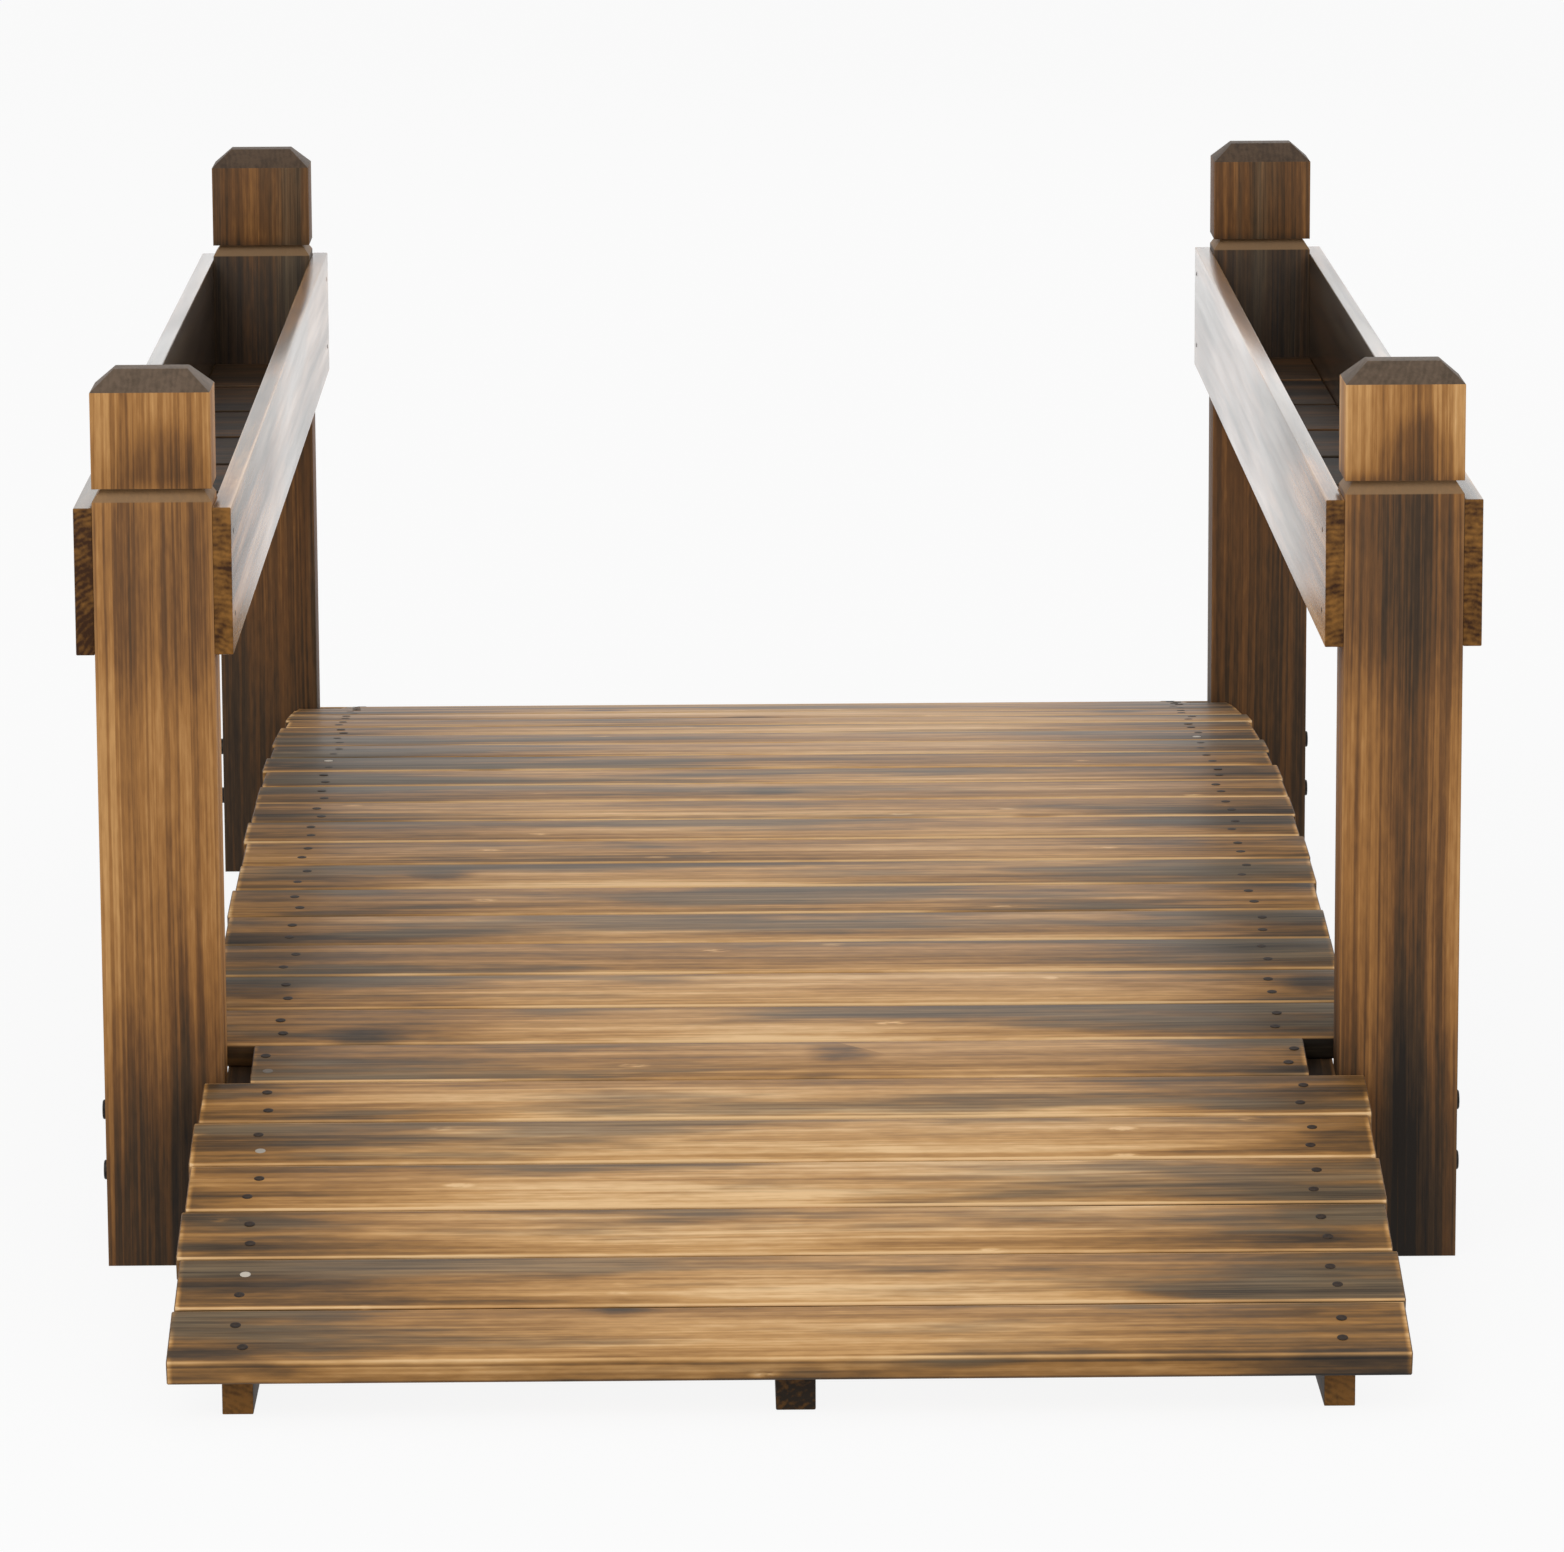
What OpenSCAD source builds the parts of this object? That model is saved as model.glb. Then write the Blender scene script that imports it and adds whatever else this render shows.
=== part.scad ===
// Arched garden footbridge with planter troughs for handrails.
// Three nailed deck panels, two ramps and a middle, are bolted together at the four posts.
// X runs across the deck, Y along it and Z up. The origin is on the ground under the crown.

/* [Deck] */
// Length of the deck, measured along the ground
deck_l = 1528; // [1400:1:1700]
// Height of the walking surface at its two ends
deck_end_z = 29; // [27:1:36]
// Height of the walking surface at the crown
deck_crown_z = 136; // [125:1:150]
// Slats on each ramp, without the short one between the posts
ramp_slats = 6; // [5:1:7]
// Slats on the middle panel
middle_slats = 19; // [17:2:21]
// Thickness of a slat
slat_t = 12; // [9:0.5:14]
// Gap between neighbouring slats
slat_gap = 1.5; // [0.5:0.5:4]
// How far a slat reaches past the side stringers
slat_overhang = 24; // [18:0.5:30]

/* [Stringers] */
// Width over the outer faces of a ramp's side stringers
ramp_w = 510; // [420:1:600]
// Thickness of a side stringer or side rail
stringer_t = 14; // [12:0.5:20]
// Thickness of a centre stringer
centre_t = 18; // [12:0.5:26]
// How far a ramp's centre stringer stands off the middle line
centre_offset = 3; // [0:0.5:6]
// Depth of a stringer, measured along the arch's radius
stringer_h = 56; // [50:1:70]
// How far a slat oversails the ends of the ramp stringers
end_setback = 18; // [12:1:30]
// Gap between the slats and the stringers' curved tops
seat_gap = 0.1; // [0.05:0.05:0.3]
// Gap between the ends of two stringers in line
butt_gap = 2; // [1:0.5:6]

/* [Posts] */
// Width of a post across the bridge
post_w = 57; // [45:1:70]
// Depth of a post along the bridge
post_d = 36; // [30:1:44]
// Height of a post
post_h = 436; // [410:1:480]
// Gap along the bridge between a post and the slats before and behind it
post_gap = 5; // [2:0.5:8]
// Run of the bevel around the top of a post
bevel_run = 11; // [6:0.5:14]
// Height of that bevel
bevel_h = 10; // [6:0.5:16]
// Height of the post's head, from the groove to the bevel
head_h = 46; // [36:1:60]
// Depth of the groove under the head
groove_depth = 4.5; // [2:0.5:7]
// Height of the groove under the head
groove_h = 6.5; // [4:0.5:10]

/* [Planters] */
// Thickness of a planter's side boards
board_t = 9; // [7:0.5:14]
// Height of a planter's side boards
board_h = 71; // [60:1:90]
// Drop from the groove to the top of the side boards
board_drop = 2.5; // [1:0.5:8]
// Thickness of the boards across a planter's floor
floor_t = 10; // [7:0.5:14]
// Boards across a planter's floor
floor_boards = 9; // [7:1:12]
// Gap between neighbouring floor boards
floor_gap = 7; // [3:1:12]

/* [Bolts] */
// Diameter of a bolt
bolt_d = 6; // [5:0.5:8]
// Clearance across a bolt in its hole
bolt_clear = 0.5; // [0.3:0.1:1]
// Distance between the two bolts of a post
bolt_pitch = 30; // [24:1:34]
// Distance from the upper bolt up to the stringers' top edge
bolt_edge = 11; // [9:0.5:14]
// Diameter of a bolt's head
bolt_head_d = 9.5; // [8.5:0.5:13]
// Height of a bolt's head
bolt_head_h = 2.5; // [1.5:0.5:4]
// Width of a nut across its corners
nut_d = 11; // [9:0.5:14]
// Height of a nut
nut_h = 5; // [4:0.5:7]
// Length of thread that shows past a nut
bolt_tail = 3; // [1:0.5:6]

/* [Hidden] */
// Circles of the arch have many sides, so that their drawn outline is close to the true arc
arch_fn = 720;
bolt_fn = 48;
hex_sides = 6;
// Longer than any piece, for cuts that go right through
through = 3 * deck_l;

// The arch: the walking surface is a circular arc through the two ends and the crown
deck_rise = deck_crown_z - deck_end_z;
deck_r = (pow(deck_l / 2, 2) + pow(deck_rise, 2)) / (2 * deck_rise);
arch_z = deck_crown_z - deck_r;
slat_r = deck_r - slat_t;
seat_r = slat_r - seat_gap;
under_r = seat_r - stringer_h;
end_angle = asin(deck_l / 2 / deck_r);

// The slats share the arc that the two bays at the posts leave over
bay_l = post_d + 2 * post_gap;
bay_angle = bay_l / slat_r * 180 / PI;
slat_angle = (2 * end_angle - 2 * bay_angle) / (middle_slats + 2 * ramp_slats);
slat_w = slat_angle * PI / 180 * slat_r - slat_gap;
short_w = bay_angle * PI / 180 * slat_r - slat_gap;
bay_start = middle_slats / 2 * slat_angle;
post_angle = bay_start + bay_angle / 2;
ramp_start = bay_start + bay_angle;
slat_l = ramp_w + 2 * slat_overhang;

// Places along and across the bridge: the side rails fit between the posts and the ramps
post_y = slat_r * sin(post_angle);
post_face_y = post_y + post_d / 2;
trough_end_y = post_y - post_d / 2;
post_in_x = ramp_w / 2 + stringer_t;
post_out_x = post_in_x + post_w;
ramp_end_y = deck_l / 2 - end_setback;
ramp_inner_y = seat_r * sin(bay_start);
middle_end_y = ramp_inner_y - butt_gap;
seat_post_z = arch_z + sqrt(pow(seat_r, 2) - pow(post_y, 2));

// Heights on the posts
bevel_z = post_h - bevel_h;
groove_top_z = bevel_z - head_h;
groove_low_z = groove_top_z - groove_h;
board_top_z = groove_low_z - board_drop;
board_low_z = board_top_z - board_h;
bolt_top_z = seat_post_z - bolt_edge;
bolt_low_z = bolt_top_z - bolt_pitch;

// The planter floor is shared out between the posts
trough_l = 2 * trough_end_y;
floor_pitch = (trough_l - floor_gap) / floor_boards;
floor_w = floor_pitch - floor_gap;

// A bolt grips a post, a side rail and a ramp stringer
grip = post_w + 2 * stringer_t;
shank_l = grip + nut_h + bolt_tail;

LEFT = -1;
RIGHT = 1;
FRONT = -1;
REAR = 1;

post_colour = "peru";
board_colour = "tan";
slat_colour = "burlywood";
stringer_colour = "saddlebrown";
bolt_colour = "dimgray";

// Outline of a post seen square on, with the groove and the bevel on both edges
module post_outline(width) {
    half = width / 2;
    polygon([
        [-half, 0],
        [half, 0],
        [half, groove_low_z],
        [half - groove_depth, groove_top_z],
        [half, groove_top_z],
        [half, bevel_z],
        [half - bevel_run, post_h],
        [-half + bevel_run, post_h],
        [-half, bevel_z],
        [-half, groove_top_z],
        [-half + groove_depth, groove_top_z],
        [-half, groove_low_z]
    ]);
}

// Holes for the two bolts of one post, drilled across the bridge
module bolt_holes(end) {
    for (z = [bolt_low_z, bolt_top_z])
        translate([-through / 2, end * post_y, z])
            rotate([0, 90, 0])
                cylinder(h = through, d = bolt_d + bolt_clear, $fn = bolt_fn);
}

// A square post: its two outlines, seen from the end and from the side, crossed
module post(side, end) {
    color(post_colour)
        difference() {
            translate([side * (post_in_x + post_w / 2), end * post_y, 0])
                intersection() {
                    rotate([90, 0, 0])
                        linear_extrude(height = post_d, center = true)
                            post_outline(post_w);
                    rotate([90, 0, 90])
                        linear_extrude(height = post_w, center = true)
                            post_outline(post_d);
                }
            bolt_holes(end);
        }
}

// Side view of the arch between two places along the bridge, cut off level at the ground
module arch_outline(from_y, to_y) {
    intersection() {
        translate([0, arch_z])
            difference() {
                circle(r = seat_r, $fn = arch_fn);
                circle(r = under_r, $fn = arch_fn);
            }
        translate([from_y, 0])
            square([to_y - from_y, deck_crown_z]);
    }
}

// A stringer of one thickness, standing on edge with its inner or outer face at low_x
module stringer(low_x, thickness, from_y, to_y) {
    translate([low_x, 0, 0])
        rotate([90, 0, 90])
            linear_extrude(height = thickness)
                arch_outline(from_y, to_y);
}

// A side rail, from post to post, that carries the middle slats' ends and ties the panels to the posts
module side_rail(side) {
    low_x = side < 0 ? -post_in_x : ramp_w / 2;
    color(stringer_colour)
        difference() {
            stringer(low_x, stringer_t, -post_face_y, post_face_y);
            bolt_holes(FRONT);
            bolt_holes(REAR);
        }
}

// A ramp's side stringer, inside the side rail that it is bolted to
module ramp_side_stringer(side, end) {
    low_x = side < 0 ? -ramp_w / 2 : ramp_w / 2 - stringer_t;
    from_y = end < 0 ? -ramp_end_y : ramp_inner_y;
    to_y = end < 0 ? -ramp_inner_y : ramp_end_y;
    color(stringer_colour)
        difference() {
            stringer(low_x, stringer_t, from_y, to_y);
            bolt_holes(end);
        }
}

// A ramp's centre stringer
module ramp_centre_stringer(end) {
    from_y = end < 0 ? -ramp_end_y : ramp_inner_y;
    to_y = end < 0 ? -ramp_inner_y : ramp_end_y;
    color(stringer_colour)
        stringer(-end * centre_offset - centre_t / 2, centre_t, from_y, to_y);
}

// A side stringer of the middle panel, in line between those of the ramps
module middle_side_stringer(side) {
    low_x = side < 0 ? -ramp_w / 2 : ramp_w / 2 - stringer_t;
    color(stringer_colour)
        stringer(low_x, stringer_t, -middle_end_y, middle_end_y);
}

// The middle panel's centre stringer, between those of the ramps
module middle_centre_stringer() {
    color(stringer_colour)
        stringer(-centre_t / 2, centre_t, -middle_end_y, middle_end_y);
}

// A flat board laid across the arch, turned to the arch at its own place
module slat(angle, length, width) {
    translate([0, 0, arch_z])
        rotate([-angle, 0, 0])
            translate([-length / 2, -width / 2, slat_r])
                cube([length, width, slat_t]);
}

// The slats of one ramp
module ramp_slat_row(end) {
    color(slat_colour)
        for (i = [0 : ramp_slats - 1])
            slat(end * (ramp_start + (i + 0.5) * slat_angle), slat_l, slat_w);
}

// The ramp's last slat, cut short to pass between the posts
module short_slat(end) {
    color(slat_colour)
        slat(end * post_angle, ramp_w, short_w);
}

// A run of the middle panel's slats, counted from the front
module middle_slat_row(first, last) {
    color(slat_colour)
        for (i = [first : last])
            slat((i + 0.5) * slat_angle - bay_start, slat_l, slat_w);
}

// The middle panel in three runs of slats
crown_first = floor(middle_slats / 3);
crown_last = middle_slats - crown_first - 1;

// A planter's side board, from the front face of one post to the rear face of the other
module planter_board(low_x) {
    color(board_colour)
        translate([low_x, -post_face_y, board_low_z])
            cube([board_t, 2 * post_face_y, board_h]);
}

// The short boards across a planter's floor, nailed in between its side boards
module planter_floor(side) {
    low_x = side < 0 ? -post_out_x : post_in_x;
    color(board_colour)
        for (i = [0 : floor_boards - 1])
            translate([low_x, -trough_end_y + floor_gap + i * floor_pitch, board_low_z])
                cube([post_w, floor_w, floor_t]);
}

// One bolt along X, its head's seat at the origin and its shank along -X
module bolt() {
    rotate([0, 90, 0])
        cylinder(h = bolt_head_h, d = bolt_head_d, $fn = bolt_fn);
    translate([-shank_l, 0, 0])
        rotate([0, 90, 0])
            cylinder(h = shank_l, d = bolt_d, $fn = bolt_fn);
    translate([-grip - nut_h, 0, 0])
        rotate([0, 90, 0])
            cylinder(h = nut_h, d = nut_d, $fn = hex_sides);
}

// The two bolts of a post, with their heads on its outer face
module post_bolts(side, end) {
    color(bolt_colour)
        for (z = [bolt_low_z, bolt_top_z])
            translate([side * post_out_x, end * post_y, z])
                rotate([0, 0, side < 0 ? 180 : 0])
                    bolt();
}

post(LEFT, FRONT);  // front_left_post
post(RIGHT, FRONT);  // front_right_post
post(LEFT, REAR);  // rear_left_post
post(RIGHT, REAR);  // rear_right_post
side_rail(LEFT);  // left_side_rail
side_rail(RIGHT);  // right_side_rail
ramp_side_stringer(LEFT, FRONT);  // front_left_stringer
ramp_centre_stringer(FRONT);  // front_centre_stringer
ramp_side_stringer(RIGHT, FRONT);  // front_right_stringer
middle_side_stringer(LEFT);  // middle_left_stringer
middle_centre_stringer();
middle_side_stringer(RIGHT);  // middle_right_stringer
ramp_side_stringer(LEFT, REAR);  // rear_left_stringer
ramp_centre_stringer(REAR);  // rear_centre_stringer
ramp_side_stringer(RIGHT, REAR);  // rear_right_stringer
ramp_slat_row(FRONT);  // front_ramp_slats
short_slat(FRONT);  // front_short_slat
middle_slat_row(0, crown_first - 1);  // middle_front_slats
middle_slat_row(crown_first, crown_last);  // middle_crown_slats
middle_slat_row(crown_last + 1, middle_slats - 1);  // middle_rear_slats
short_slat(REAR);  // rear_short_slat
ramp_slat_row(REAR);  // rear_ramp_slats
planter_board(-post_in_x);  // left_planter_inner_board
planter_board(-post_out_x - board_t);  // left_planter_outer_board
planter_floor(LEFT);  // left_planter_floor
planter_board(post_in_x - board_t);  // right_planter_inner_board
planter_board(post_out_x);  // right_planter_outer_board
planter_floor(RIGHT);  // right_planter_floor
post_bolts(LEFT, FRONT);  // front_left_bolts
post_bolts(RIGHT, FRONT);  // front_right_bolts
post_bolts(LEFT, REAR);  // rear_left_bolts
post_bolts(RIGHT, REAR);  // rear_right_bolts
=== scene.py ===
import math
import random

import bmesh
import bpy
from mathutils import Matrix, Vector


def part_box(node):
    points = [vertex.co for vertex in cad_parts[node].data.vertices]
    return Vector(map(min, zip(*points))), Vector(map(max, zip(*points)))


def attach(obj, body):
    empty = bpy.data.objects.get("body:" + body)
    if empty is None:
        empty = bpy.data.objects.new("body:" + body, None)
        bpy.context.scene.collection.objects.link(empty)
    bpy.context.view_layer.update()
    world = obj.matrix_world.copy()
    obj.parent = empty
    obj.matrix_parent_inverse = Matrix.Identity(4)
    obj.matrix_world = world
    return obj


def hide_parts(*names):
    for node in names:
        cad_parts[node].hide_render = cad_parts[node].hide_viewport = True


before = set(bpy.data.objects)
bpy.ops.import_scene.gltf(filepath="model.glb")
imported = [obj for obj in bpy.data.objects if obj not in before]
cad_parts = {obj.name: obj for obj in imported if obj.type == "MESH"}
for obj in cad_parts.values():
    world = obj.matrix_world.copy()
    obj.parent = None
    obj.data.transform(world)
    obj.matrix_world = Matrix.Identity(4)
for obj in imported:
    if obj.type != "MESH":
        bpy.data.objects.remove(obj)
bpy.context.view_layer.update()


# Stringers and side rails
# Thin fir boards on edge, sawn to the arch and torched before assembly. Their dark tone is partly
# painted shade, for the deep shade in the notches beside the posts and under the deck. The slats are
# nailed to the stringers, and the two side rails tie the three deck panels to the posts.

scene = bpy.context.scene
draw = random.Random(11)


class Wire:
    """An output socket in a node tree. Arithmetic on it adds Math nodes to that tree."""

    def __init__(self, tree, socket=None):
        self.tree = tree
        self.socket = socket

    def node(self, kind, settings=None, sockets=None, out=0):
        """Adds a node, sets it up, fills its sockets with values or wires, and gives one output."""
        made = self.tree.nodes.new(kind)
        for key, value in (settings or {}).items():
            if key == "stops":
                self.set_stops(made.color_ramp, value)
            else:
                setattr(made, key, value)
        for key, value in (sockets or {}).items():
            if isinstance(value, Wire):
                value.feed(made, key)
            else:
                made.inputs[key].default_value = value
        return Wire(self.tree, made.outputs[out])

    def set_stops(self, ramp, stops):
        while len(ramp.elements) < len(stops):
            ramp.elements.new(1.0)
        for element, (position, colour) in zip(ramp.elements, stops):
            element.position = position
            element.color = colour

    def feed(self, node, key):
        """Leads this socket into one of a node's inputs."""
        self.tree.links.new(self.socket, node.inputs[key])

    def attribute(self, name, out="Fac"):
        return self.node("ShaderNodeAttribute", {"attribute_name": name}, out=out)

    def maths(self, operation, first, second=0.0):
        return self.node("ShaderNodeMath", {"operation": operation}, {0: first, 1: second})

    def vector(self, operation, other, out=0):
        return self.node("ShaderNodeVectorMath", {"operation": operation}, {0: self, 1: other}, out)

    def __add__(self, other):
        return self.maths("ADD", self, other)

    __radd__ = __add__

    def __sub__(self, other):
        return self.maths("SUBTRACT", self, other)

    def __rsub__(self, other):
        return self.maths("SUBTRACT", other, self)

    def __mul__(self, other):
        return self.maths("MULTIPLY", self, other)

    __rmul__ = __mul__

    def __truediv__(self, other):
        return self.maths("DIVIDE", self, other)

    def __abs__(self):
        return self.maths("ABSOLUTE", self)

    def step(self, low, high):
        """Nought below low, one above high and a smooth rise between them."""
        return self.node("ShaderNodeMapRange", {"interpolation_type": "SMOOTHSTEP"},
                         {"Value": self, "From Min": low, "From Max": high})

    def axes(self):
        split = self.node("ShaderNodeSeparateXYZ", None, {0: self}).socket.node
        return [Wire(self.tree, socket) for socket in split.outputs]

    def joined(self, x, y, z):
        return self.node("ShaderNodeCombineXYZ", None, {0: x, 1: y, 2: z})

    def mix(self, low, high):
        return self.node("ShaderNodeMix", {"data_type": "RGBA"}, {0: self, 6: low, 7: high}, 2)

    def noise(self, stretch, detail=2.0, roughness=0.55):
        """Soft noise with this many features per metre along, across and through a board."""
        point = self.vector("MULTIPLY", stretch)
        return point.node("ShaderNodeTexNoise", None,
                          {"Vector": point, "Scale": 1.0, "Detail": detail, "Roughness": roughness})


def tone(red, green, blue):
    """A colour, 0 to 255 a channel, as the renderer's linear values."""
    def linear(level):
        level /= 255
        return level / 12.92 if level <= 0.04045 else ((level + 0.055) / 1.055) ** 2.4
    return (linear(red), linear(green), linear(blue), 1.0)


def new_finish(name):
    """A material, a wire that its nodes start from, and the shader that they feed."""
    material = bpy.data.materials.new(name)
    material.use_nodes = True
    return material, Wire(material.node_tree), material.node_tree.nodes["Principled BSDF"]


fir_tones = [
    (0.0, tone(34, 27, 21)),
    (0.2, tone(70, 52, 35)),
    (0.4, tone(115, 78, 45)),
    (0.6, tone(167, 117, 64)),
    (0.8, tone(208, 157, 98)),
    (1.0, tone(242, 199, 143))]
soot_dark = tone(65, 55, 43)
soot_pale = tone(139, 121, 94)
rubbed_tone = tone(224, 187, 136)
# The paler tone of places sawn after the torching, partly painted light on the groove's lit slope.
fresh_cut_and_lit = tone(146, 115, 81)

# Lengths in metres: how far apart boards lie in the tree, how far the grain wanders and stands up,
# where the tree's heart lies from a board, and how wide the rubbed strip along an arris is.
board_shift = (31.7, 17.3, 53.9)
grain_sway = 0.008
grain_depth = 0.0004
heart_off = 0.05
heart_spread = 0.08
rubbed_rim = (0.0004, 0.0017)


def torched_fir(name, axis, growth, run, light, vary, stripe, streak, burn, wear, ends, ash=0.0,
                shine=0.0, gloss=1.65, local=None, cut_and_lit=None, worn_under=True, tones=fir_tones):
    """Fir that was torched, brushed and stained. The grain follows each board's place attribute.

    axis is the boards' direction, growth the year rings per metre across the grain, and run the
    streaks per metre along it. light is the middle of the tones, and vary how far whole boards
    differ. stripe, streak and burn say how strongly the rings, the soft streaks and the scorched
    patches show, and wear how pale the arrises are. ends gives the dark and the light tone of the
    sawn ends, and ash says how grey the scorched patches are. shine is how much satin stain is left
    and gloss its index of refraction. local lightens or darkens places, and cut tells which places
    were sawn after the torching; they take a paler tone, which is partly painted light on the lit
    slope of the groove. worn_under is for boards whose lower arrises are rubbed too, and tones gives
    the colours from charred to bare.
    """
    material, maker, shader = new_finish(name)
    place = maker.attribute("place", "Vector")
    half = maker.attribute("half", "Vector")
    board = maker.attribute("board")
    along, across, through = place.axes()
    half_w, half_t = half.axes()[1:]
    own = maker.joined(*[board * shift for shift in board_shift])
    timber = place.vector("ADD", own)

    sway = (timber.noise((2.2, 9, 9)) - 0.5) * grain_sway
    sawn = maker.joined(along, across + sway, through + sway).vector("ADD", own)
    rings = sawn.noise((1.0, growth, growth), 2).step(0.42, 0.58)
    streaks = sawn.noise((run, 85, 85), 3)
    broad = timber.noise((run * 0.6, 28, 28), 2)
    fibre = sawn.noise((11, growth * 2, growth * 2), 3, 0.6)
    mottle = timber.noise((80, growth * 1.3, growth * 1.3), 2)
    scorch = (timber.noise((run * 0.8, 30, 30), 4) + across / half_w * 0.04).step(0.48, 0.64)
    depth = light + (board - 0.5) * vary + (rings - 0.5) * stripe
    depth = depth + (streaks + broad * 1.2 - 1.1) * streak - scorch * burn
    depth = depth + (fibre - 0.5) * 0.36 + (mottle - 0.5) * 0.22
    if local:
        depth = depth + local(along, across, through, half, timber)

    height = abs(through) if worn_under else through
    rim = maker.maths("MAXIMUM", half_w - abs(across), half_t - height)
    brushed = timber.noise((6, 20, 20), 2).step(0.36, 0.6)
    rubbed = (1 - rim.step(*rubbed_rim)) * (0.35 + brushed * 0.75)
    depth = depth + rubbed * wear
    colour = depth.node("ShaderNodeValToRGB", {"stops": tones}, {0: depth})
    if ash:
        soot_and_gap_shade = (fibre - 0.5) * 2.4 + (streaks - 0.5) * 1.6 + 0.5
        colour = (scorch * (1 - rubbed) * ash).mix(colour, soot_and_gap_shade.mix(soot_dark, soot_pale))
    colour = (rubbed * wear * 0.8).mix(colour, rubbed_tone)

    normal = maker.node("ShaderNodeNewGeometry", out="Normal")
    sawn_end = abs(normal.vector("DOT_PRODUCT", axis, "Value")).step(0.6, 0.7)
    pores = timber.noise((growth * 0.8, growth * 0.8, growth * 0.8), 4)
    heart = maker.joined(0.0, across + heart_off, through + (board - 0.5) * heart_spread)
    year_lines = maker.node(
        "ShaderNodeTexWave", {"wave_type": "RINGS", "rings_direction": "X"},
        {"Vector": heart, "Scale": 105.0, "Distortion": 6.0, "Detail": 3.0, "Detail Scale": 1.4}, 1)
    end_grain = (pores - 0.5) * 1.8 + (streaks - 0.5) * 1.6 + (year_lines - 0.5) * 0.3 + board
    colour = sawn_end.mix(colour, end_grain.mix(*ends))
    # Partly painted light: the sawn places take the paler tone, which also lightens the groove's lit
    # slope.
    if cut_and_lit:
        colour = (cut_and_lit(along, half) * 0.85).mix(colour, fresh_cut_and_lit)

    colour.feed(shader, "Base Color")
    (0.46 + fibre * 0.2).feed(shader, "Roughness")
    bump = maker.node("ShaderNodeBump", None, {
        "Strength": 0.3, "Distance": grain_depth, "Height": rings * 0.5 + fibre * 0.5})
    bump.feed(shader, "Normal")
    shader.inputs["Specular IOR Level"].default_value = 0.2
    shader.inputs["Coat Roughness"].default_value = 0.22
    shader.inputs["Coat IOR"].default_value = gloss
    if shine:
        satin = (1 - sawn_end) * (0.4 + streaks * 0.6 + broad * 0.6) * (1.3 - board * 0.7) * shine
        satin.feed(shader, "Coat Weight")
    return material


def mark_timber(mesh, lay):
    """Writes where each point lies in its board. lay gives its lengths along, across and through."""
    spots = [lay(vertex.co) for vertex in mesh.vertices]
    low = [min(spot[i] for spot in spots) for i in range(3)]
    high = [max(spot[i] for spot in spots) for i in range(3)]
    middle = [(low[i] + high[i]) / 2 for i in range(3)]
    place = mesh.attributes.new("place", "FLOAT_VECTOR", "POINT")
    half = mesh.attributes.new("half", "FLOAT_VECTOR", "POINT")
    for i, spot in enumerate(spots):
        place.data[i].vector = [spot[k] - middle[k] for k in range(3)]
        half.data[i].vector = [(high[k] - low[k]) / 2 for k in range(3)]


def number_board(mesh, number):
    """Gives a piece that is one board its own stretch of timber, from nought, dark, to one, light."""
    board = mesh.attributes.new("board", "FLOAT", "POINT")
    for item in board.data:
        item.value = number


def keep_result(piece):
    """Turns what the modifiers make into the piece's own plain mesh."""
    graph = bpy.context.evaluated_depsgraph_get()
    made = bpy.data.meshes.new_from_object(
        piece.evaluated_get(graph), preserve_all_data_layers=True, depsgraph=graph)
    old = piece.data
    piece.modifiers.clear()
    piece.data = made
    bpy.data.meshes.remove(old)
    made.name = piece.name


weld_gap = 1e-6
flat_turn = math.radians(0.4)
round_turn = math.radians(32)
arris_turn = math.radians(35)


def smooth_rounds(mesh):
    mesh.shade_smooth()
    mesh.set_sharp_from_angle(angle=round_turn)


def eased_copy(node, ease, lay, material, number):
    """A board of the frame with its arrises eased, in the same place."""
    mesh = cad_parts[node].data.copy()
    mesh.materials.clear()
    work = bmesh.new()
    work.from_mesh(mesh)
    bmesh.ops.remove_doubles(work, verts=work.verts, dist=weld_gap)
    bmesh.ops.dissolve_limit(work, angle_limit=flat_turn, verts=work.verts, edges=work.edges)
    work.to_mesh(mesh)
    work.free()
    piece = bpy.data.objects.new("dressed_" + node, mesh)
    scene.collection.objects.link(piece)
    bevel = piece.modifiers.new("arris", "BEVEL")
    bevel.width = ease
    bevel.segments = 2
    bevel.limit_method = "ANGLE"
    bevel.angle_limit = arris_turn
    keep_result(piece)
    mark_timber(piece.data, lay)
    number_board(piece.data, number)
    piece.data.materials.append(material)
    smooth_rounds(piece.data)
    return piece


def settle(piece, slot, *nodes):
    """Attaches a finished piece to the root body and hides the nodes that it stands for. slot is not
    used.
    """
    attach(piece, "root")
    if nodes:
        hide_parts(*nodes)


deck_l = 1.528
deck_end_z = 0.029
deck_crown_z = 0.136
deck_rise = deck_crown_z - deck_end_z
deck_r = ((deck_l / 2) ** 2 + deck_rise ** 2) / (2 * deck_rise)
arch_z = deck_crown_z - deck_r


def lay_arched(point):
    radius = math.hypot(point.y, point.z - arch_z)
    return (math.atan2(point.y, point.z - arch_z) * deck_r, radius, point.x)


# Painted shade: the stringers and side rails take a very dark tone that stands in for the deep shade
# in the notches beside the posts and under the deck.
stringer_fir = torched_fir(
    "stringer_fir", axis=(0, 1, 0), growth=300, run=4, light=0.2, vary=0.1, stripe=0.08, streak=0.5,
    burn=0.1, wear=0.1, ends=(tone(38, 28, 17), tone(134, 92, 42)))
stringer_ease = 0.0007
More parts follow.
